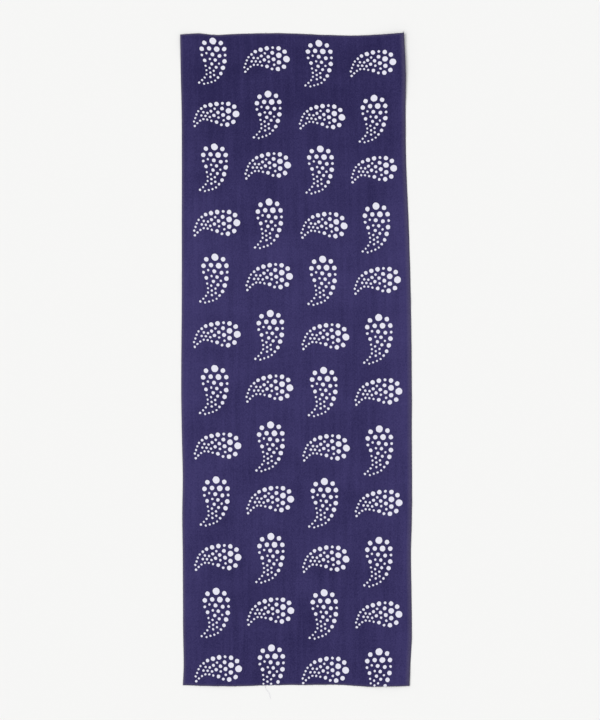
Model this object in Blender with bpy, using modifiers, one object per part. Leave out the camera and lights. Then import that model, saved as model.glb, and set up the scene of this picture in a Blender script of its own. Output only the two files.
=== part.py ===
"""A tenugui: a plain cotton hand towel, dyed indigo with undyed dots, lying flat and face up.

Metres, +Z up. The cloth's width runs along X and its length along Y. The origin is the middle of
the cloth's box, on the surface that it lies on.
"""

import math
from collections import namedtuple

import bpy
from mathutils import Vector

MM = 0.001

CLOTH_WIDTH = 350 * MM  # between the two selvedges, as the loom sets it
CLOTH_LENGTH = 1000 * MM  # between the two cut ends
CLOTH_THICKNESS = 1.0 * MM
CELLS_ACROSS = 24
CELLS_ALONG = 60

INDIGO = (0.041, 0.034, 0.117, 1.0)
COTTON_ROUGHNESS = 0.92

# How far the cloth's edge stands outside its straight line, in mm. Down is the share of the
# length from the top end, and across is the share of the width from the left selvedge.
Selvedges = namedtuple("Selvedges", "down left right")
SELVEDGES = (
    Selvedges(0.00, 3.0, -9.3),
    Selvedges(0.06, 2.1, -6.6),
    Selvedges(0.12, 0.7, -6.8),
    Selvedges(0.20, 0.4, -6.0),
    Selvedges(0.30, 0.5, -1.9),
    Selvedges(0.40, 0.5, 0.9),
    Selvedges(0.54, 1.4, 2.6),
    Selvedges(0.62, 0.3, 2.6),
    Selvedges(0.68, -1.0, 3.0),
    Selvedges(0.74, -0.2, 2.7),
    Selvedges(0.80, -1.0, 1.3),
    Selvedges(0.92, -1.6, 2.7),
    Selvedges(0.97, -2.4, 0.4),
    Selvedges(1.00, -1.1, -0.9),
)
CutEnds = namedtuple("CutEnds", "across top bottom")
CUT_ENDS = (
    CutEnds(0.00, -0.7, -0.8),
    CutEnds(0.08, 1.3, 0.0),
    CutEnds(0.16, -0.9, 0.5),
    CutEnds(0.25, 0.3, 0.5),
    CutEnds(0.36, 1.6, -0.5),
    CutEnds(0.47, 1.5, -1.1),
    CutEnds(0.58, 0.0, -1.3),
    CutEnds(0.68, -1.2, -1.4),
    CutEnds(0.76, -2.0, 0.2),
    CutEnds(0.84, -1.4, 1.6),
    CutEnds(0.92, 0.1, 0.8),
    CutEnds(1.00, 1.8, 0.2),
)

# Soft rises off the surface, in mm and degrees: the lifted corners and ends, and the low
# cockles that folding has left in the cloth. The cloth lies flat between them.
Rise = namedtuple("Rise", "across along half_width half_length turned height")
RISES = (
    Rise(176, 462, 58, 84, 0, 3.6),
    Rise(150, 512, 70, 34, 0, 2.6),
    Rise(-182, 505, 52, 60, 0, 1.9),
    Rise(142, -512, 64, 44, 0, 2.8),
    Rise(-120, -508, 70, 34, 0, 1.4),
    Rise(-40, 402, 150, 44, -7, 1.6),
    Rise(66, 262, 130, 42, 5, 1.4),
    Rise(-92, 118, 110, 46, 9, 1.7),
    Rise(64, -52, 135, 42, -5, 1.4),
    Rise(-58, -226, 120, 44, -8, 1.5),
    Rise(88, -372, 96, 46, 8, 1.7),
)


def clear_scene():
    for old in list(bpy.data.objects):
        bpy.data.objects.remove(old, do_unlink=True)


def slope_at(table, index, column):
    """The slope of a column at one row, from the rows on both sides of it."""
    before = table[max(index - 1, 0)]
    after = table[min(index + 1, len(table) - 1)]
    return (getattr(after, column) - getattr(before, column)) / (after[0] - before[0])


def read_smooth(table, column, place):
    """A smooth curve through a column, read at a place along the table's first column."""
    index = max(i for i, row in enumerate(table[:-1]) if row[0] <= place)
    start, end = table[index], table[index + 1]
    gap = end[0] - start[0]
    t = (place - start[0]) / gap
    rise_in = gap * slope_at(table, index, column)
    rise_out = gap * slope_at(table, index + 1, column)
    return (
        getattr(start, column) * (1 + 2 * t) * (1 - t) ** 2
        + getattr(end, column) * t * t * (3 - 2 * t)
        + rise_in * t * (1 - t) ** 2
        - rise_out * t * t * (1 - t)
    )


def edge_point(across, down):
    """Where a point of the cloth lies on the surface, from its shares of width and length."""
    left = -CLOTH_WIDTH / 2 - read_smooth(SELVEDGES, "left", down) * MM
    right = CLOTH_WIDTH / 2 + read_smooth(SELVEDGES, "right", down) * MM
    top = CLOTH_LENGTH / 2 + read_smooth(CUT_ENDS, "top", across) * MM
    bottom = -CLOTH_LENGTH / 2 - read_smooth(CUT_ENDS, "bottom", across) * MM
    return left + (right - left) * across, top + (bottom - top) * down


def rise_height(rise, x, y):
    """One rise's height at a point: a smooth mound that ends on the surface."""
    turned = math.radians(rise.turned)
    x_away = x / MM - rise.across
    y_away = y / MM - rise.along
    along_width = (x_away * math.cos(turned) + y_away * math.sin(turned)) / rise.half_width
    along_length = (y_away * math.cos(turned) - x_away * math.sin(turned)) / rise.half_length
    distance = along_width**2 + along_length**2
    return rise.height * MM * max(0.0, 1 - distance) ** 2


def make_collection(name):
    collection = bpy.data.collections.new(name)
    bpy.context.scene.collection.children.link(collection)
    return collection


def make_cotton():
    cotton = bpy.data.materials.new("indigo_cotton")
    cotton.use_nodes = True
    shader = cotton.node_tree.nodes["Principled BSDF"]
    shader.inputs["Base Color"].default_value = INDIGO
    shader.inputs["Roughness"].default_value = COTTON_ROUGHNESS
    shader.inputs["Metallic"].default_value = 0.0
    return cotton


def make_cloth(collection):
    """A grid laid in the cloth's outline and lifted by its rises, given its thickness upwards."""
    bpy.ops.mesh.primitive_grid_add(
        x_subdivisions=CELLS_ACROSS, y_subdivisions=CELLS_ALONG, size=1
    )
    cloth = bpy.context.object
    cloth.name = cloth.data.name = "cloth"
    for vertex in cloth.data.vertices:
        across = min(max(vertex.co.x + 0.5, 0.0), 1.0)
        down = min(max(0.5 - vertex.co.y, 0.0), 1.0)
        x, y = edge_point(across, down)
        vertex.co = (x, y, sum(rise_height(rise, x, y) for rise in RISES))

    lowest = Vector(min(v.co[axis] for v in cloth.data.vertices) for axis in range(3))
    highest = Vector(max(v.co[axis] for v in cloth.data.vertices) for axis in range(3))
    middle = (lowest + highest) / 2
    for vertex in cloth.data.vertices:
        vertex.co.x -= middle.x
        vertex.co.y -= middle.y

    layer = cloth.modifiers.new("thickness", "SOLIDIFY")
    layer.thickness = CLOTH_THICKNESS
    layer.offset = 1.0
    cloth.data.shade_smooth()
    cloth.data.materials.append(make_cotton())
    for old in list(cloth.users_collection):
        old.objects.unlink(cloth)
    collection.objects.link(cloth)
    return cloth


clear_scene()
make_cloth(make_collection("tenugui_towel"))
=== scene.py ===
# A tenugui laid out flat: thin plain-weave cotton, dyed indigo round undyed dots.
# Its long sides are the loom's own selvedges, and its ends are plain cuts.
# Sizes are in millimetres unless a note says otherwise, and mm turns them to metres.
import math
import random

import bpy
import numpy as np
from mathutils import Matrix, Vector, noise


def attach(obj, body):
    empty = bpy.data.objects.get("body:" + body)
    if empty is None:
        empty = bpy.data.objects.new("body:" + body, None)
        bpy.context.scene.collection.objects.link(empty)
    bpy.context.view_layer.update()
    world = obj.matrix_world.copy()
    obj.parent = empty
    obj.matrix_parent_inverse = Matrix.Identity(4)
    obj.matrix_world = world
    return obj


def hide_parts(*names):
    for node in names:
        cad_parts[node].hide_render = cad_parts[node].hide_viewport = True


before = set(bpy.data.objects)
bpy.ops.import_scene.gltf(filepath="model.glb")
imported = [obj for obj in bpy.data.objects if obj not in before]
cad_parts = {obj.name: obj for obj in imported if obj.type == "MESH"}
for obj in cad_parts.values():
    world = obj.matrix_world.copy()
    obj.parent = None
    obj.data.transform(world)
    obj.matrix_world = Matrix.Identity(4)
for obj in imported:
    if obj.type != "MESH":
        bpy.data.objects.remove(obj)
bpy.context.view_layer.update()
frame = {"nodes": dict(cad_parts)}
print("frame loaded:", ", ".join(frame["nodes"]))

mm = 0.001
clothBody = "root"


def linear(hexColour):
    # sRGB hex to the linear red, green, blue and alpha that a shader takes
    channels = [int(hexColour[i:i + 2], 16) / 255 for i in (1, 3, 5)]
    return [c / 12.92 if c <= 0.04045 else ((c + 0.055) / 1.055) ** 2.4 for c in channels] + [1]


def addNode(tree, kind, inputs=None, **settings):
    # one node with its settings; inputs gives its sockets plain values, or nodes to link
    made = tree.nodes.new(kind)
    for name, value in settings.items():
        setattr(made, name, value)
    shown = [socket for socket in made.inputs if socket.enabled]
    for place, value in (inputs or {}).items():
        socket = shown[place] if isinstance(place, int) else made.inputs[place]
        if isinstance(value, bpy.types.Node):
            value = next(output for output in value.outputs if output.enabled)
        if isinstance(value, bpy.types.NodeSocket):
            tree.links.new(value, socket)
        else:
            socket.default_value = value
    return made


# How the cloth was cut and how it lies. The first column of each table is a share: of the
# length down from the top end, or of the width across from the left selvedge. The second is
# how far the edge stands outside its straight line there.
cloth = {
    "width": 350,
    "length": 1000,
    "thickness": 0.45,
    "cellsAcross": 112,
    "cellsAlong": 316,  # an even number, since the bake map parts the cloth at its middle
    "leftSelvedge": ((0.00, 3.0), (0.06, 2.1), (0.12, 0.7), (0.20, 0.4), (0.30, 0.5),
                     (0.40, 0.5), (0.54, 1.4), (0.62, 0.3), (0.68, -1.0), (0.74, -0.2),
                     (0.80, -1.0), (0.92, -1.6), (0.97, -2.4), (1.00, -1.1)),
    "rightSelvedge": ((0.00, -9.3), (0.06, -6.6), (0.12, -6.8), (0.20, -6.0), (0.30, -1.9),
                      (0.40, 0.9), (0.54, 2.6), (0.62, 2.6), (0.68, 3.0), (0.74, 2.7),
                      (0.80, 1.3), (0.92, 2.7), (0.97, 0.4), (1.00, -0.9)),
    "topEnd": ((0.00, -0.7), (0.08, 1.3), (0.16, -0.9), (0.25, 0.3), (0.36, 1.6), (0.47, 1.5),
               (0.58, 0.0), (0.68, -1.2), (0.76, -2.0), (0.84, -1.4), (0.92, 0.1), (1.00, 1.8)),
    "bottomEnd": ((0.00, -0.8), (0.08, 0.0), (0.16, 0.5), (0.25, 0.5), (0.36, -0.5),
                  (0.47, -1.1), (0.58, -1.3), (0.68, -1.4), (0.76, 0.2), (0.84, 1.6),
                  (0.92, 0.8), (1.00, 0.2)),
    "cutWander": 0.30,  # the scissors' own small wander
    "cutSpacing": 14,
    "cutRows": (0.5, 7.5),  # the lines of the noise that the top and the bottom cut follow
    "edgeSteps": 200,  # points along each edge, to find the middle of the cloth's box
    "bakeMargin": 0.002,  # share of the bake map left free round each half
}

# The lifted corners and the soft bands that folding has left:
# across, along, half width, half length, degrees turned, height.
rises = (
    (176, 462, 58, 84, 0, 3.6),
    (150, 512, 70, 34, 0, 2.6),
    (-182, 505, 52, 60, 0, 1.9),
    (142, -512, 64, 44, 0, 2.8),
    (-120, -508, 70, 34, 0, 1.4),
    (-40, 402, 150, 44, -7, 1.6),
    (66, 262, 130, 42, 5, 1.4),
    (-92, 118, 110, 46, 9, 1.7),
    (64, -52, 135, 42, -5, 1.4),
    (-58, -226, 120, 44, -8, 1.5),
    (88, -372, 96, 46, 8, 1.7),
)

# The low unevenness of washed cotton that a hand has smoothed: longer across than along.
cockles = {
    "height": 0.6,
    "acrossSpacing": 78,
    "alongSpacing": 30,
    "selvedgeHeight": 0.9,  # the tighter selvedge frills a little
    "selvedgeSpacing": 26,
    "selvedgeReach": 9,
    "lowPlane": 2.7,  # where the noise is cut, for the cockles and for the frill
    "frillPlane": 9.2,
    "frillsApart": 5,  # so the two selvedges frill each in its own way
}


def smoothRead(table, place):
    # the smooth curve through a table's points that the CAD cloth follows as well
    places, values = np.array(table, dtype=float).T
    slopes = np.empty_like(values)
    slopes[1:-1] = (values[2:] - values[:-2]) / (places[2:] - places[:-2])
    slopes[0] = (values[1] - values[0]) / (places[1] - places[0])
    slopes[-1] = (values[-1] - values[-2]) / (places[-1] - places[-2])
    index = np.clip(np.searchsorted(places, place, side="right") - 1, 0, len(places) - 2)
    gap = places[index + 1] - places[index]
    t = (place - places[index]) / gap
    onPoints = values[index] * (1 + 2 * t) * (1 - t) ** 2 + values[index + 1] * t * t * (3 - 2 * t)
    bySlopes = slopes[index] * t * (1 - t) ** 2 - slopes[index + 1] * t * t * (1 - t)
    return onPoints + gap * bySlopes


def wander(across, row):
    # how far a cut end strays along one line of smooth noise
    places = np.atleast_1d(across) * cloth["width"] / cloth["cutSpacing"]
    return cloth["cutWander"] * np.array([noise.noise((place, row, 0)) for place in places])


def outlinePlace(across, down):
    # where a point of the cloth lies, before the cloth's box is centred
    topRow, bottomRow = cloth["cutRows"]
    left = -cloth["width"] / 2 - smoothRead(cloth["leftSelvedge"], down)
    right = cloth["width"] / 2 + smoothRead(cloth["rightSelvedge"], down)
    top = cloth["length"] / 2 + smoothRead(cloth["topEnd"], across)
    top += wander(across, topRow)
    bottom = -cloth["length"] / 2 - smoothRead(cloth["bottomEnd"], across)
    bottom += wander(across, bottomRow)
    return left + (right - left) * across, top + (bottom - top) * down


def riseHeight(x, y):
    height = np.zeros_like(x)
    for across, along, halfWidth, halfLength, turned, tall in rises:
        turn = math.radians(turned)
        overWidth = ((x - across) * math.cos(turn) + (y - along) * math.sin(turn)) / halfWidth
        overLength = ((y - along) * math.cos(turn) - (x - across) * math.sin(turn)) / halfLength
        height += tall * np.clip(1 - overWidth ** 2 - overLength ** 2, 0, None) ** 2
    return height


def cockleHeight(x, y, across):
    low = [noise.noise((px / cockles["acrossSpacing"], py / cockles["alongSpacing"],
                        cockles["lowPlane"]))
           for px, py in zip(x, y)]
    frill = [noise.noise((side, py / cockles["selvedgeSpacing"], cockles["frillPlane"]))
             for side, py in zip(np.round(across) * cockles["frillsApart"], y)]
    fromSelvedge = np.minimum(across, 1 - across) * cloth["width"]
    atSelvedge = np.exp(-fromSelvedge / cockles["selvedgeReach"])
    return (cockles["height"] * np.clip(low, 0, None)
            + cockles["selvedgeHeight"] * np.clip(frill, 0, None) * atSelvedge)


# the middle of the cloth's box, found along its four edges
edgeWalk = np.linspace(0, 1, cloth["edgeSteps"])
sidesX = np.concatenate([outlinePlace(side, edgeWalk)[0] for side in (0.0, 1.0)])
endsY = np.concatenate([outlinePlace(edgeWalk, end)[1] for end in (0.0, 1.0)])
middleX = (sidesX.min() + sidesX.max()) / 2
middleY = (endsY.min() + endsY.max()) / 2


def clothPlace(across, down):
    # the cloth's underside at its shares of the width and length, in mm, in the frame
    x, y = outlinePlace(across, down)
    z = riseHeight(x, y) + cockleHeight(x, y, across)
    return np.stack([x - middleX, y - middleY, z], axis=1)


# The print: one dotted drop to a cell, upright and lying by turns. One stencil holds four,
# and is laid down again and again.
stencil = {
    "columns": 4,
    "firstColumn": 51.2,
    "columnPitch": 82.7,
    "firstRow": 41.1,
    "rowPitch": 85.5,
    "closeRows": 2,  # the first rows stand a little closer
    "closePitch": 81.3,
    "dropPerColumn": 1.9,
    # how far the stencil's four drops stand from their cells' middles: to the right and down
    "offMiddle": (((-2.0, 0.5), (-0.1, -2.7)), ((2.6, 1.0), (-0.4, 1.2))),
    "uprightSize": (1.055, 1.08),  # the upright drops are spread a little wider and longer
}

# The drop's dots: a big one at its crown, a walk round its rim, then the widest gaps filled.
drop = {
    # x, y and radius of the discs that sweep out the drop, from head to tail
    "shape": ((3.0, 16.5, 20.5), (5.5, 2.0, 17.6), (5.0, -9.0, 14.2), (1.5, -19.5, 10.0),
              (-5.5, -27.0, 6.6), (-13.5, -31.8, 4.6), (-21.4, -34.4, 2.3)),
    "crownDot": 5.25,
    "headDot": 3.5,
    "tailDot": 1.7,
    "headEnds": 0.12,  # shares of the way from head to tail
    "tailStarts": 0.42,
    "gap": 1.7,  # from dot to dot, and a share of the dots' usual radius there is added
    "gapShare": 0.45,
    "fillEase": 0.1,  # how much closer the filling dots may stand
    "fillDots": (4.3, 3.4, 3.1, 3.0, 1.9, 2.7, 1.9, 2.6, 1.9, 2.4),  # big and small by turns
    "fillOver": 1.6,  # how many times the usual size there they may reach
    "lateDot": 1.9,
    "leastDot": 1.45,
    "smallEvery": 3,  # every third dot of the rim is small, where it would be over bigDot
    "smallShare": 0.62,
    "bigDot": 3,
    "rimMargin": 0.3,  # how far inside the drop the filling dots stay
    "longestHop": 6,  # the walk ends where the next free place is further than this
    "step": 0.4,  # from one place that is tried to the next
    "tried": 40,  # how far out places are tried
    "discs": 400,  # that fill in the sweep between the seven above
}


def layDots():
    # x, y and radius of every dot, from the middle of the drop's box
    shape = np.array(drop["shape"])
    along = np.linspace(0, len(shape) - 1, drop["discs"])
    discs = np.stack([np.interp(along, range(len(shape)), column) for column in shape.T], axis=1)
    side = np.arange(-drop["tried"], drop["tried"], drop["step"])
    points = np.stack(np.meshgrid(side, side), axis=-1).reshape(-1, 2)
    toDiscs = np.hypot(points[:, None, 0] - discs[:, 0], points[:, None, 1] - discs[:, 1])
    depth = (discs[:, 2] - toDiscs).max(axis=1)
    share = (discs[:, 2] - toDiscs).argmax(axis=1) / (len(discs) - 1)
    inside = depth > 0
    points, depth, share = points[inside], depth[inside], share[inside]
    ease = (share - drop["headEnds"]) / (drop["tailStarts"] - drop["headEnds"])
    ease = np.clip(ease, 0, 1) ** 2 * (3 - 2 * np.clip(ease, 0, 1))
    usual = drop["headDot"] + (drop["tailDot"] - drop["headDot"]) * ease
    gap = drop["gap"] + drop["gapShare"] * usual
    crownX, crownY, crownRadius = drop["shape"][0]
    dots = [(crownX, crownY + crownRadius - drop["crownDot"], drop["crownDot"])]

    def room():
        return np.min([np.hypot(points[:, 0] - x, points[:, 1] - y) - radius
                       for x, y, radius in dots], axis=0)

    while True:  # one walk round the rim, clockwise from the crown
        hereX, hereY, hereRadius = dots[-1]
        away = np.hypot(points[:, 0] - hereX, points[:, 1] - hereY)
        size = usual[np.argmin(away)]
        if len(dots) % drop["smallEvery"] == 0 and size > drop["bigDot"]:
            size *= drop["smallShare"]
        fits = (room() >= size + gap) & (np.abs(depth - size) < drop["step"])
        if len(dots) == 1:
            fits &= points[:, 0] > hereX
        away[~fits] = np.inf
        pick = away.argmin()
        if away[pick] > hereRadius + size + gap[pick] + drop["longestHop"]:
            break
        dots.append((*points[pick], size))
    rimDots = len(dots)
    while True:  # then the widest gap that is left, until none takes a dot
        turn = len(dots) - rimDots
        most = drop["fillDots"][turn] if turn < len(drop["fillDots"]) else drop["lateDot"]
        allowed = np.minimum(most, np.maximum(usual * drop["fillOver"], drop["leastDot"]))
        between = room() - gap + drop["fillEase"]
        free = np.minimum(np.minimum(between, depth - drop["rimMargin"]), allowed)
        pick = np.lexsort((points[:, 1], np.round(free, 1)))[-1]
        if free[pick] < drop["leastDot"]:
            break
        dots.append((*points[pick], free[pick]))
    dots = np.array(dots)
    lowest = (dots[:, :2] - dots[:, 2:]).min(axis=0)
    highest = (dots[:, :2] + dots[:, 2:]).max(axis=0)
    dots[:, :2] -= (lowest + highest) / 2
    return dots.tolist()


def stencilPlace(across, down):
    # column and row of the print at a place on the flat cloth; a cell's middle is at a half
    column = (across * cloth["width"] - stencil["firstColumn"]) / stencil["columnPitch"]
    beyond = down * cloth["length"] - stencil["firstRow"]
    closeLength = stencil["closeRows"] * stencil["closePitch"]
    closeRow = beyond / stencil["closePitch"]
    laterRow = stencil["closeRows"] + (beyond - closeLength) / stencil["rowPitch"]
    row = np.where(beyond < closeLength, closeRow, laterRow)
    row = row - stencil["dropPerColumn"] * column / stencil["rowPitch"]
    return column + 0.5, row + 0.5


# Cotton, plain woven from uneven single yarns and dyed indigo through resist paste: quite
# matt, a flat deep blue with paler yarns running through it, and clean-edged undyed dots.
indigoCotton = {
    "deepDye": "#191245",
    "paleDye": "#3E376C",
    "wornDeep": "#3C3655",
    "wornPale": "#6C6675",
    "undyed": "#F0EFFB",
    "undyedShade": "#D5D4E2",
    "dyeEdge": 0.30,  # how softly the dye ends at a dot
    "dyeUnderLying": 0.10,  # how far it ran in under the paste of the lying drops
    "dyeUnderUpright": 0.28,
    "dyeCreep": 0.50,  # how far it strays from the stencil
    "creepSpacing": 3.5,
    "yarnPitch": 0.9,  # the real 0.45 is too fine to show, so yarns are drawn two to one
    "yarnHeight": 0.08,
    "slubHeight": 0.9,  # how much the thick yarns stand up, beside a yarn's round back
    "overEase": 0.3,  # how softly a warp yarn dips under a weft yarn
    "paintedGapShade": 0.36,  # painted shade: how much deeper the colour is made between yarns; half as much painted highlight on their round backs
    # single yarns are thick and thin by turns: the spacing along one, and how much paler
    # or deeper that makes it
    "warpYarns": (3.0, 0.29),
    "weftYarns": (2.7, 0.23),
    "yarnsApart": 2.3,  # in the noise, so neighbours are thick in different places
    "noiseRange": (0.25, 0.75),  # most of a noise texture lies between these
    # how the dye's depth varies: spacing across, spacing along, and how much paler or deeper
    "warpSlubs": (2.4, 110, 0.055),  # real ones are 0.8 wide: drawn wider, to show
    "weftSlubs": (90, 2.4, 0.027),
    "streaks": (9, 95, 0.09),  # warp threads that took the dye in groups
    "patches": (75, 45, 0.105),
    # how far in each edge is worn, and how much at the very edge
    "wornLeft": (4.5, 0.55),
    "wornRight": (8, 0.55),
    "wornEnds": (3.5, 0.50),
    "ior": 1.53,  # cellulose
    "specular": 0.25,  # half the usual, since the yarns' round backs scatter it
    "roughness": (0.96, 0.82),  # of the thin and of the thick yarns
    "sheen": 0.08,  # the short fuzz of washed cotton
    # share of the length down, and how pale the colour is made there
    "paleness": ((0.0, 0.28), (0.07, 0.21), (0.2, 0.38), (0.38, 0.61), (0.5, 0.53),
                 (0.85, 0.44), (1.0, 0.38)),
    "leftPaler": 0.19,  # more at each selvedge, fading over the reach
    "rightPaler": 0.15,
    "palerReach": 52,
}


def makeDropGroup(dots):
    # how far outside the nearest dot a point is, in mm, with a minus where it is inside
    group = bpy.data.node_groups.new("dottedDrop", "ShaderNodeTree")
    group.interface.new_socket("Place", in_out="INPUT", socket_type="NodeSocketVector")
    group.interface.new_socket("Away", in_out="OUTPUT", socket_type="NodeSocketFloat")
    place = addNode(group, "NodeGroupInput")
    nearest = None
    for x, y, radius in dots:
        toMiddle = addNode(group, "ShaderNodeVectorMath", {0: place, 1: (x, y, 0)},
                           operation="DISTANCE")
        toEdge = addNode(group, "ShaderNodeMath", {0: toMiddle, 1: radius}, operation="SUBTRACT")
        if nearest:
            toEdge = addNode(group, "ShaderNodeMath", {0: nearest, 1: toEdge},
                             operation="MINIMUM")
        nearest = toEdge
    addNode(group, "NodeGroupOutput", {0: nearest})
    return group


def makeIndigoCotton(dots):
    settings = indigoCotton
    noiseLow, noiseHigh = settings["noiseRange"]
    noiseMiddle = 0.5
    betweenCells = 0.5  # parts one whole number from the next
    material = bpy.data.materials.new("indigoPlainWeaveCotton")
    material.use_nodes = True
    tree = material.node_tree
    shader = tree.nodes["Principled BSDF"]
    flatMap = addNode(tree, "ShaderNodeUVMap", uv_map="clothPlan")
    flat = addNode(tree, "ShaderNodeVectorMath", {0: flatMap, 1: (1 / mm, 1 / mm, 0)},
                   operation="MULTIPLY")
    flatXY = addNode(tree, "ShaderNodeSeparateXYZ", {0: flat})
    across, down = flatXY.outputs["X"], flatXY.outputs["Y"]

    # the stencil's cell, with the dye's small strays
    creep = addNode(tree, "ShaderNodeTexNoise",
                    {"Vector": flat, "Scale": 1 / settings["creepSpacing"], "Detail": 2},
                    noise_dimensions="2D")
    stray = addNode(tree, "ShaderNodeVectorMath",
                    {0: creep.outputs["Color"], 1: (noiseMiddle, noiseMiddle, noiseMiddle)},
                    operation="SUBTRACT")
    strayShare = settings["dyeCreep"] / noiseMiddle / stencil["columnPitch"]
    stencilMap = addNode(tree, "ShaderNodeUVMap", uv_map="stencilPlan")
    strayed = addNode(tree, "ShaderNodeVectorMath",
                      {0: stray, 1: (strayShare, strayShare, 0), 2: stencilMap},
                      operation="MULTIPLY_ADD")
    cell = addNode(tree, "ShaderNodeVectorMath", {0: strayed}, operation="FLOOR")
    cellXY = addNode(tree, "ShaderNodeSeparateXYZ", {0: cell})
    column, row = cellXY.outputs["X"], cellXY.outputs["Y"]
    oddColumn = addNode(tree, "ShaderNodeMath", {0: column, 1: 2}, operation="FLOORED_MODULO")
    oddRow = addNode(tree, "ShaderNodeMath", {0: row, 1: 2}, operation="FLOORED_MODULO")
    middles = []
    for rowOffs in stencil["offMiddle"]:
        points = [(stencil["columnPitch"] / 2 + right, -stencil["rowPitch"] / 2 - lower, 0)
                  for right, lower in rowOffs]
        middles.append(addNode(tree, "ShaderNodeMix", {0: oddColumn, 1: points[0], 2: points[1]},
                               data_type="VECTOR"))
    middle = addNode(tree, "ShaderNodeMix", {0: oddRow, 1: middles[0], 2: middles[1]},
                     data_type="VECTOR")
    inCell = addNode(tree, "ShaderNodeVectorMath", {0: strayed}, operation="FRACTION")
    fromCorner = addNode(tree, "ShaderNodeVectorMath",
                         {0: inCell, 1: (stencil["columnPitch"], -stencil["rowPitch"], 0)},
                         operation="MULTIPLY")
    fromMiddle = addNode(tree, "ShaderNodeVectorMath", {0: fromCorner, 1: middle},
                         operation="SUBTRACT")
    upright = addNode(tree, "ShaderNodeVectorMath",
                      {0: fromMiddle, 1: (*stencil["uprightSize"], 1)}, operation="DIVIDE")
    middleXY = addNode(tree, "ShaderNodeSeparateXYZ", {0: fromMiddle})
    lying = addNode(tree, "ShaderNodeCombineXYZ",
                    {0: middleXY.outputs["Y"], 1: middleXY.outputs["X"]})
    isUpright = addNode(tree, "ShaderNodeMath", {0: oddColumn, 1: oddRow, 2: betweenCells},
                        operation="COMPARE")
    inDrop = addNode(tree, "ShaderNodeMix", {0: isUpright, 1: lying, 2: upright},
                     data_type="VECTOR")
    away = addNode(tree, "ShaderNodeGroup", {0: inDrop}, node_tree=makeDropGroup(dots))
    dyeUnder = addNode(tree, "ShaderNodeMix",
                       {0: isUpright, 1: settings["dyeUnderLying"],
                        2: settings["dyeUnderUpright"]})
    toDye = addNode(tree, "ShaderNodeMath", {0: away, 1: dyeUnder}, operation="ADD")
    resist = addNode(tree, "ShaderNodeMapRange",
                     {"Value": toDye, "From Min": settings["dyeEdge"] / 2,
                      "From Max": -settings["dyeEdge"] / 2},
                     interpolation_type="SMOOTHSTEP")
    middleColumn = (stencil["columns"] - 1) / 2
    inColumns = addNode(tree, "ShaderNodeMath",
                        {0: column, 1: middleColumn, 2: middleColumn + betweenCells},
                        operation="COMPARE")
    inRows = addNode(tree, "ShaderNodeMath", {0: row, 1: -betweenCells},
                     operation="GREATER_THAN")
    printed = addNode(tree, "ShaderNodeMath", {0: inColumns, 1: inRows}, operation="MULTIPLY")
    undyedShare = addNode(tree, "ShaderNodeMath", {0: resist, 1: printed}, operation="MULTIPLY")

    # paler or deeper along the length, and paler towards each selvedge
    downShare = addNode(tree, "ShaderNodeMath", {0: down, 1: 1 / cloth["length"]},
                        operation="MULTIPLY")
    byLength = addNode(tree, "ShaderNodeValToRGB", {0: downShare})
    stops = byLength.color_ramp.elements
    while len(stops) < len(settings["paleness"]):
        stops.new(0.5)
    for stop, (place, pale) in zip(stops, settings["paleness"]):
        stop.position = place
        stop.color = (pale, pale, pale, 1)
    byLeft = addNode(tree, "ShaderNodeMapRange",
                     {"Value": across, "From Max": settings["palerReach"],
                      "To Min": settings["leftPaler"], "To Max": 0},
                     interpolation_type="SMOOTHSTEP")
    byRight = addNode(tree, "ShaderNodeMapRange",
                      {"Value": across, "From Min": cloth["width"] - settings["palerReach"],
                       "From Max": cloth["width"], "To Max": settings["rightPaler"]},
                      interpolation_type="SMOOTHSTEP")
    paleness = addNode(tree, "ShaderNodeMath", {0: byLength, 1: byLeft}, operation="ADD")
    paleness = addNode(tree, "ShaderNodeMath", {0: paleness, 1: byRight}, operation="ADD")

    # the weave: a warp yarn's round back shows where it goes over, and a weft yarn's between
    pitch = settings["yarnPitch"]
    turns = addNode(tree, "ShaderNodeVectorMath",
                    {0: flat, 1: (math.pi / pitch, math.pi / pitch, 0)},
                    operation="MULTIPLY")
    waves = addNode(tree, "ShaderNodeVectorMath", {0: turns}, operation="SINE")
    waveXY = addNode(tree, "ShaderNodeSeparateXYZ", {0: waves})
    overUnder = addNode(tree, "ShaderNodeMath",
                        {0: waveXY.outputs["X"], 1: waveXY.outputs["Y"]}, operation="MULTIPLY")
    warpOver = addNode(tree, "ShaderNodeMapRange",
                       {"Value": overUnder, "From Min": -settings["overEase"],
                        "From Max": settings["overEase"]})
    backs = addNode(tree, "ShaderNodeVectorMath", {0: waves}, operation="ABSOLUTE")
    backXY = addNode(tree, "ShaderNodeSeparateXYZ", {0: backs})
    weave = addNode(tree, "ShaderNodeMix",
                    {0: warpOver, 1: backXY.outputs["Y"], 2: backXY.outputs["X"]})
    yarnPlace = addNode(tree, "ShaderNodeVectorMath", {0: flat, 1: (1 / pitch, 1 / pitch, 0)},
                        operation="MULTIPLY")
    yarnNumber = addNode(tree, "ShaderNodeVectorMath", {0: yarnPlace}, operation="FLOOR")
    numberXY = addNode(tree, "ShaderNodeSeparateXYZ", {0: yarnNumber})
    yarns, yarnTones = [], []
    for name, number, alongIt in (("weftYarns", numberXY.outputs["Y"], across),
                                  ("warpYarns", numberXY.outputs["X"], down)):
        spacing, tone = settings[name]
        apart = addNode(tree, "ShaderNodeMath", {0: number, 1: settings["yarnsApart"]},
                        operation="MULTIPLY")
        place = addNode(tree, "ShaderNodeMath", {0: alongIt, 1: spacing}, operation="DIVIDE")
        onYarn = addNode(tree, "ShaderNodeCombineXYZ", {0: apart, 1: place, 2: 0})
        thickThin = addNode(tree, "ShaderNodeTexNoise",
                            {"Vector": onYarn, "Scale": 1, "Detail": 1},
                            noise_dimensions="2D")
        yarns.append(thickThin)
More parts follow.
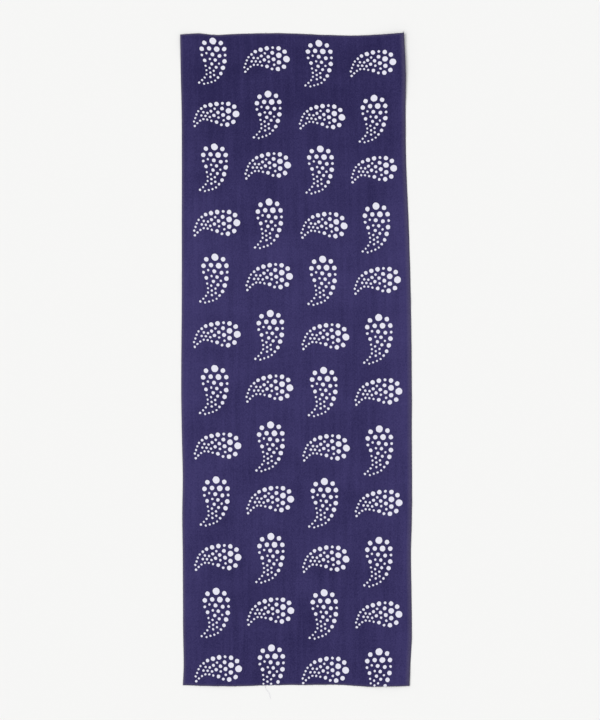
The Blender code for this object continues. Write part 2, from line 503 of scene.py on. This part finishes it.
        yarnTones.append(addNode(tree, "ShaderNodeMapRange",
                                 {"Value": thickThin, "From Min": noiseLow,
                                  "From Max": noiseHigh, "To Min": -tone, "To Max": tone}))
    topYarn = addNode(tree, "ShaderNodeMix", {0: warpOver, 1: yarns[0], 2: yarns[1]})
    topTone = addNode(tree, "ShaderNodeMix", {0: warpOver, 1: yarnTones[0], 2: yarnTones[1]})
    paleness = addNode(tree, "ShaderNodeMath", {0: paleness, 1: topTone}, operation="ADD")
    # painted shade in the gaps between yarns and painted highlight on their round backs, put into
    # the colour as well as the bump
    paintedWeaveShade = addNode(tree, "ShaderNodeMapRange",
                    {"Value": weave, "To Min": -settings["paintedGapShade"],
                     "To Max": settings["paintedGapShade"] / 2})
    paleness = addNode(tree, "ShaderNodeMath", {0: paleness, 1: paintedWeaveShade}, operation="ADD")
    grain = {}
    for name in ("warpSlubs", "weftSlubs", "streaks", "patches"):
        acrossSpacing, alongSpacing, tone = settings[name]
        stretched = addNode(tree, "ShaderNodeVectorMath",
                            {0: flat, 1: (1 / acrossSpacing, 1 / alongSpacing, 0)},
                            operation="MULTIPLY")
        grain[name] = addNode(tree, "ShaderNodeTexNoise",
                              {"Vector": stretched, "Scale": 1, "Detail": 1},
                              noise_dimensions="2D")
        change = addNode(tree, "ShaderNodeMapRange",
                         {"Value": grain[name], "From Min": noiseLow, "From Max": noiseHigh,
                          "To Min": -tone, "To Max": tone})
        paleness = addNode(tree, "ShaderNodeMath", {0: paleness, 1: change}, operation="ADD")
    paleness.use_clamp = True

    # colour: dyed, worn at the edges, and undyed in the dots
    dyed = addNode(tree, "ShaderNodeMix",
                   {0: paleness, 1: linear(settings["deepDye"]), 2: linear(settings["paleDye"])},
                   data_type="RGBA")
    otherSide = addNode(tree, "ShaderNodeMath", {0: cloth["width"], 1: across},
                        operation="SUBTRACT")
    otherEnd = addNode(tree, "ShaderNodeMath", {0: cloth["length"], 1: down},
                       operation="SUBTRACT")
    toEnd = addNode(tree, "ShaderNodeMath", {0: down, 1: otherEnd}, operation="MINIMUM")
    worn = []
    for distance, edge in ((across, "wornLeft"), (otherSide, "wornRight"), (toEnd, "wornEnds")):
        reach, most = settings[edge]
        worn.append(addNode(tree, "ShaderNodeMapRange",
                            {"Value": distance, "From Max": reach, "To Min": most, "To Max": 0}))
    atSide = addNode(tree, "ShaderNodeMath", {0: worn[0], 1: worn[1]}, operation="MAXIMUM")
    atEdge = addNode(tree, "ShaderNodeMath", {0: atSide, 1: worn[2]}, operation="MAXIMUM")
    wornYarn = addNode(tree, "ShaderNodeMix",
                       {0: topYarn, 1: linear(settings["wornDeep"]),
                        2: linear(settings["wornPale"])},
                       data_type="RGBA")
    wornDye = addNode(tree, "ShaderNodeMix",
                      {0: atEdge, 1: dyed.outputs[2], 2: wornYarn.outputs[2]},
                      data_type="RGBA")
    undyed = addNode(tree, "ShaderNodeMix",
                     {0: topYarn, 1: linear(settings["undyedShade"]),
                      2: linear(settings["undyed"])},
                     data_type="RGBA")
    colour = addNode(tree, "ShaderNodeMix",
                     {0: undyedShare, 1: wornDye.outputs[2], 2: undyed.outputs[2]},
                     data_type="RGBA")
    tree.links.new(colour.outputs[2], shader.inputs["Base Color"])

    # relief and roughness: the thick yarns stand up, and are the less matt ones
    thickYarns = addNode(tree, "ShaderNodeMath", {0: grain["warpSlubs"], 1: topYarn},
                         operation="ADD")
    height = addNode(tree, "ShaderNodeMath",
                     {0: thickYarns, 1: settings["slubHeight"], 2: weave},
                     operation="MULTIPLY_ADD")
    bump = addNode(tree, "ShaderNodeBump",
                   {"Height": height, "Strength": 1, "Distance": settings["yarnHeight"] * mm})
    tree.links.new(bump.outputs["Normal"], shader.inputs["Normal"])

    thinYarn, thickYarn = settings["roughness"]
    roughness = addNode(tree, "ShaderNodeMapRange",
                        {"Value": topYarn, "From Min": noiseLow, "From Max": noiseHigh,
                         "To Min": thinYarn, "To Max": thickYarn})
    tree.links.new(roughness.outputs[0], shader.inputs["Roughness"])
    shader.inputs["IOR"].default_value = settings["ior"]
    shader.inputs["Specular IOR Level"].default_value = settings["specular"]
    shader.inputs["Sheen Weight"].default_value = settings["sheen"]
    return material


def addMap(mesh, name, u, v):
    layer = mesh.uv_layers.new(name=name)
    layer.data.foreach_set("uv", np.stack([u, v], axis=1).ravel())


def readLoops(mesh):
    corners = np.empty(len(mesh.loops), dtype=np.int32)
    mesh.loops.foreach_get("vertex_index", corners)
    return corners


def addClothMaps(mesh, across, down):
    # where each corner of each face is on the flat cloth, and in the stencil's rows
    addMap(mesh, "clothPlan", across * cloth["width"] * mm, down * cloth["length"] * mm)
    addMap(mesh, "stencilPlan", *stencilPlace(across, down))


def makeClothSheet(material):
    bpy.ops.mesh.primitive_grid_add(x_subdivisions=cloth["cellsAcross"],
                                    y_subdivisions=cloth["cellsAlong"], size=1, calc_uvs=False)
    sheet = bpy.context.object
    mesh = sheet.data
    sheet.name = mesh.name = "clothSheet"
    square = np.empty(len(mesh.vertices) * 3)
    mesh.vertices.foreach_get("co", square)
    across = np.clip(square[0::3] + 0.5, 0, 1)
    down = np.clip(0.5 - square[1::3], 0, 1)
    mesh.vertices.foreach_set("co", (clothPlace(across, down) * mm).ravel())

    corners = readLoops(mesh)
    addClothMaps(mesh, across[corners], down[corners])
    # the bake map holds the cloth as two halves side by side, to be nearer a square
    margin = cloth["bakeMargin"]
    cornersPerFace = 4
    faceDown = down[corners].reshape(-1, cornersPerFace).mean(axis=1)
    half = np.repeat(faceDown > 0.5, cornersPerFace).astype(float)
    u = half / 2 + margin + across[corners] * (0.5 - 2 * margin)
    v = 1 - margin - (down[corners] * 2 - half) * (1 - 2 * margin)
    addMap(mesh, "OFBake", u, v)

    layer = sheet.modifiers.new("thickness", "SOLIDIFY")
    layer.thickness = cloth["thickness"] * mm
    layer.offset = 1
    mesh.shade_smooth()
    mesh.materials.append(material)
    return sheet


# Yarn ends that stand out of the two cuts, and the tuft where the top cut meets the selvedge.
frayedEnds = {
    "spacing": 0.9,
    "shortest": 0.2,
    "longest": 1.4,
    "shortness": 2.4,  # the higher, the fewer long ones
    "radius": 0.16,
    "tipShare": 0.35,
    "lean": 0.5,  # shares of a yarn's own reach, at most
    "droop": 0.35,
    "middleShares": (0.3, 0.5, 0.2),  # of its lean, reach and droop that it has half way
    "rootInside": 0.6,
    "rootPlace": (0.15, 0.85),  # where it starts in its spacing, and in the cloth's thickness
    "rootHeight": (0.3, 0.7),
    "sides": 3,
    "seed": 11,
    # across from the right selvedge and beyond the top end, for each yarn of the tuft
    "tuft": (((-1.2, -0.6), (-0.8, 2.0), (-0.1, 4.2)), ((-0.7, -0.6), (-0.4, 1.8), (0.4, 3.4)),
             ((-1.8, -0.6), (-1.5, 1.5), (-1.2, 3.0)), ((-0.3, -0.8), (0.2, 0.9), (0.5, 2.4)),
             ((-2.6, -0.6), (-2.4, 1.0), (-2.6, 1.9))),
    "tuftRise": 0.05,  # for each mm beyond the end
}


def spinYarn(points, radius, tipShare, sides):
    # a round yarn along its points that narrows towards its tip: its vertices and its faces
    points = np.array(points, dtype=float)
    runs = np.gradient(points, axis=0)
    runs /= np.linalg.norm(runs, axis=1, keepdims=True)
    sideways = np.cross(runs, (0, 0, 1))
    sideways /= np.linalg.norm(sideways, axis=1, keepdims=True)
    upward = np.cross(sideways, runs)
    turns = np.arange(sides) * math.tau / sides + math.pi / 2
    widths = radius * np.linspace(1, tipShare, len(points))
    rings = [point + width * (math.cos(turn) * side + math.sin(turn) * up)
             for point, width, side, up in zip(points, widths, sideways, upward)
             for turn in turns]
    faces = [tuple(range(sides)), tuple(range(len(rings) - 1, len(rings) - 1 - sides, -1))]
    for ring in range(len(points) - 1):
        for side in range(sides):
            here, following = ring * sides + side, ring * sides + (side + 1) % sides
            faces.append((here, here + sides, following + sides, following))
    return rings, faces


def makeFrayedEnds(material):
    settings = frayedEnds
    dice = random.Random(settings["seed"])
    yarns = []  # each one's shares of width and length at its root, and its points
    leanShare, reachShare, droopShare = settings["middleShares"]
    count = round(cloth["width"] / settings["spacing"])
    for end, outward in ((0.0, 1), (1.0, -1)):
        for number in range(count):
            across = (number + dice.uniform(*settings["rootPlace"])) / count
            root = clothPlace(np.array([across]), np.array([end]))[0]
            root[2] += cloth["thickness"] * dice.uniform(*settings["rootHeight"])
            reach = dice.random() ** settings["shortness"]
            reach *= settings["longest"] - settings["shortest"]
            reach += settings["shortest"]
            lean = dice.uniform(-1, 1) * settings["lean"] * reach
            droop = dice.uniform(0, settings["droop"]) * reach
            middle = root + (lean * leanShare, outward * reach * reachShare, -droop * droopShare)
            tip = root + (lean, outward * reach, -droop)
            middle[2] = max(middle[2], settings["radius"])  # none dips into the floor
            tip[2] = max(tip[2], settings["radius"])
            inside = root - (0, outward * settings["rootInside"], 0)
            yarns.append((across, end, (inside, root, middle, tip)))
    corner = clothPlace(np.array([1.0]), np.array([0.0]))[0]
    for tuftYarn in settings["tuft"]:
        points = [corner + (x, y, cloth["thickness"] / 2 + settings["tuftRise"] * max(y, 0))
                  for x, y in tuftYarn]
        yarns.append((1.0, 0.0, points))

    vertices, faces, vertexAcross, vertexDown = [], [], [], []
    for across, end, points in yarns:
        rings, sides = spinYarn(points, settings["radius"], settings["tipShare"],
                                settings["sides"])
        faces += [tuple(len(vertices) + corner for corner in side) for side in sides]
        vertices += [ring * mm for ring in rings]
        vertexAcross += [across] * len(rings)
        vertexDown += [end] * len(rings)
    mesh = bpy.data.meshes.new("frayedEnds")
    mesh.from_pydata(vertices, [], faces)
    corners = readLoops(mesh)
    addClothMaps(mesh, np.array(vertexAcross)[corners], np.array(vertexDown)[corners])
    mesh.shade_smooth()
    mesh.materials.append(material)
    fray = bpy.data.objects.new("frayedEnds", mesh)
    bpy.context.scene.collection.objects.link(fray)
    return fray


# One yarn that has come away at the bottom cut and lies on the floor.
looseThread = {
    "radius": 0.12,
    "tipShare": 0.7,
    "sides": 6,
    "steps": 40,
    "across": 0.365,  # share of the width where it leaves the cloth
    # sideways and beyond the cut
    "path": ((0.0, -0.8), (-0.4, 1.5), (0.6, 5.5), (3.4, 9.0), (5.6, 12.5), (6.9, 17.5),
             (8.1, 21.5)),
    "landsAfter": 3,  # this far beyond the cut it is down on the floor
    "colour": "#8F8CA6",
    "worn": "#B2B0C2",
    "twist": 0.6,  # spacing of the paler fibres that its twist brings up
    "fibreHeight": 0.03,
    "roughness": (0.8, 0.95),
}


def makeCottonYarn():
    # Single-ply cotton yarn, dyed less deeply than the cloth: matt, with its twist just showing.
    settings = looseThread
    material = bpy.data.materials.new("paleIndigoCottonYarn")
    material.use_nodes = True
    tree = material.node_tree
    shader = tree.nodes["Principled BSDF"]
    place = addNode(tree, "ShaderNodeTexCoord")
    fibres = addNode(tree, "ShaderNodeTexNoise",
                     {"Vector": place.outputs["Object"], "Scale": 1 / (settings["twist"] * mm),
                      "Detail": 2})
    colour = addNode(tree, "ShaderNodeMix",
                     {0: fibres.outputs["Fac"], 1: linear(settings["colour"]),
                      2: linear(settings["worn"])}, data_type="RGBA")
    tree.links.new(colour.outputs[2], shader.inputs["Base Color"])
    smoothest, roughest = settings["roughness"]
    roughness = addNode(tree, "ShaderNodeMapRange",
                        {"Value": fibres.outputs["Fac"], "To Min": smoothest,
                         "To Max": roughest})
    tree.links.new(roughness.outputs[0], shader.inputs["Roughness"])
    bump = addNode(tree, "ShaderNodeBump",
                   {"Height": fibres.outputs["Fac"], "Distance": settings["fibreHeight"] * mm})
    tree.links.new(bump.outputs["Normal"], shader.inputs["Normal"])
    shader.inputs["Sheen Weight"].default_value = indigoCotton["sheen"]
    return material


def makeLooseThread(material):
    settings = looseThread
    root = clothPlace(np.array([settings["across"]]), np.array([1.0]))[0]
    path = np.array(settings["path"])
    knots = np.linspace(0, 1, len(path))
    walk = np.linspace(0, 1, settings["steps"])
    x = smoothRead(np.stack([knots, path[:, 0]], axis=1), walk)
    beyond = smoothRead(np.stack([knots, path[:, 1]], axis=1), walk)
    startHeight = root[2] + cloth["thickness"] / 2
    landed = np.clip(beyond, 0, settings["landsAfter"]) / settings["landsAfter"]
    height = np.maximum(settings["radius"], startHeight * (1 - landed))
    points = np.stack([root[0] + x, root[1] - beyond, height], axis=1)
    rings, faces = spinYarn(points, settings["radius"], settings["tipShare"], settings["sides"])
    mesh = bpy.data.meshes.new("looseThread")
    mesh.from_pydata([ring * mm for ring in rings], [], faces)
    mesh.shade_smooth()
    mesh.materials.append(material)
    thread = bpy.data.objects.new("looseThread", mesh)
    bpy.context.scene.collection.objects.link(thread)
    return thread


# The photo's frame in its own pixels, and where the middle of the cloth's box is in it.
photo = {
    "wide": 600,
    "high": 720,
    "middle": (296.1, 359.9),
    "mmPerPixel": 1.5354,
}

# Lengths here are in metres.
studio = {
    "floorSize": 40,
    "floorBelow": 0.0002,
    "floorColour": "#F0F0EF",
    "floorRoughness": 0.9,
    "floorSpecular": 0.2,
    "cameraHeight": 2.6,
    "sensor": 36,
    "windowFrom": (-0.62, 0.18, 0.78),  # where the soft daylight comes from
    "windowStrength": 1.35,
    "windowSpread": 34,  # degrees that it fills
    "fillColour": "#FFFFFF",
    "fillStrength": 0.73,
}


def makeFloor():
    # uncoated backdrop paper: matt, evenly pale, with hardly any gloss
    half = studio["floorSize"] / 2
    low = -studio["floorBelow"]
    mesh = bpy.data.meshes.new("floor")
    mesh.from_pydata([(-half, -half, low), (half, -half, low), (half, half, low),
                      (-half, half, low)], [], [(0, 1, 2, 3)])
    paper = bpy.data.materials.new("paleBackdropPaper")
    paper.use_nodes = True
    shader = paper.node_tree.nodes["Principled BSDF"]
    shader.inputs["Base Color"].default_value = linear(studio["floorColour"])
    shader.inputs["Roughness"].default_value = studio["floorRoughness"]
    shader.inputs["Specular IOR Level"].default_value = studio["floorSpecular"]
    mesh.materials.append(paper)
    floor = bpy.data.objects.new("floor", mesh)
    bpy.context.scene.collection.objects.link(floor)
    return floor


def makeStudio():
    scene = bpy.context.scene
    scene.view_settings.view_transform = "Standard"
    camera = bpy.data.objects.new("camera", bpy.data.cameras.new("camera"))
    scene.collection.objects.link(camera)
    cameraX = (photo["wide"] / 2 - photo["middle"][0]) * photo["mmPerPixel"] * mm
    cameraY = (photo["middle"][1] - photo["high"] / 2) * photo["mmPerPixel"] * mm
    camera.location = (cameraX, cameraY, studio["cameraHeight"])
    shownHeight = photo["high"] * photo["mmPerPixel"] * mm
    camera.data.sensor_width = studio["sensor"]
    camera.data.lens = studio["sensor"] * studio["cameraHeight"] / shownHeight
    scene.camera = camera

    window = bpy.data.objects.new("window", bpy.data.lights.new("window", "SUN"))
    scene.collection.objects.link(window)
    window.data.energy = studio["windowStrength"]
    window.data.angle = math.radians(studio["windowSpread"])
    window.rotation_euler = Vector(studio["windowFrom"]).to_track_quat("Z", "Y").to_euler()

    world = bpy.data.worlds.new("softFill")
    scene.world = world
    world.use_nodes = True
    background = world.node_tree.nodes["Background"]
    background.inputs["Color"].default_value = linear(studio["fillColour"])
    background.inputs["Strength"].default_value = studio["fillStrength"]


makeStudio()
floor = makeFloor()
print("studio: camera, window light, fill and floor")

dots = layDots()
indigoMaterial = makeIndigoCotton(dots)
print("indigo cotton: a drop of", len(dots), "dots")

clothSheet = makeClothSheet(indigoMaterial)
print("cloth sheet:", len(clothSheet.data.polygons), "faces on one side")

fray = makeFrayedEnds(indigoMaterial)
thread = makeLooseThread(makeCottonYarn())
print("frayed ends:", len(fray.data.polygons), "faces, and one loose thread")

for piece in (clothSheet, fray, thread):
    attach(piece, clothBody)
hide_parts("cloth")
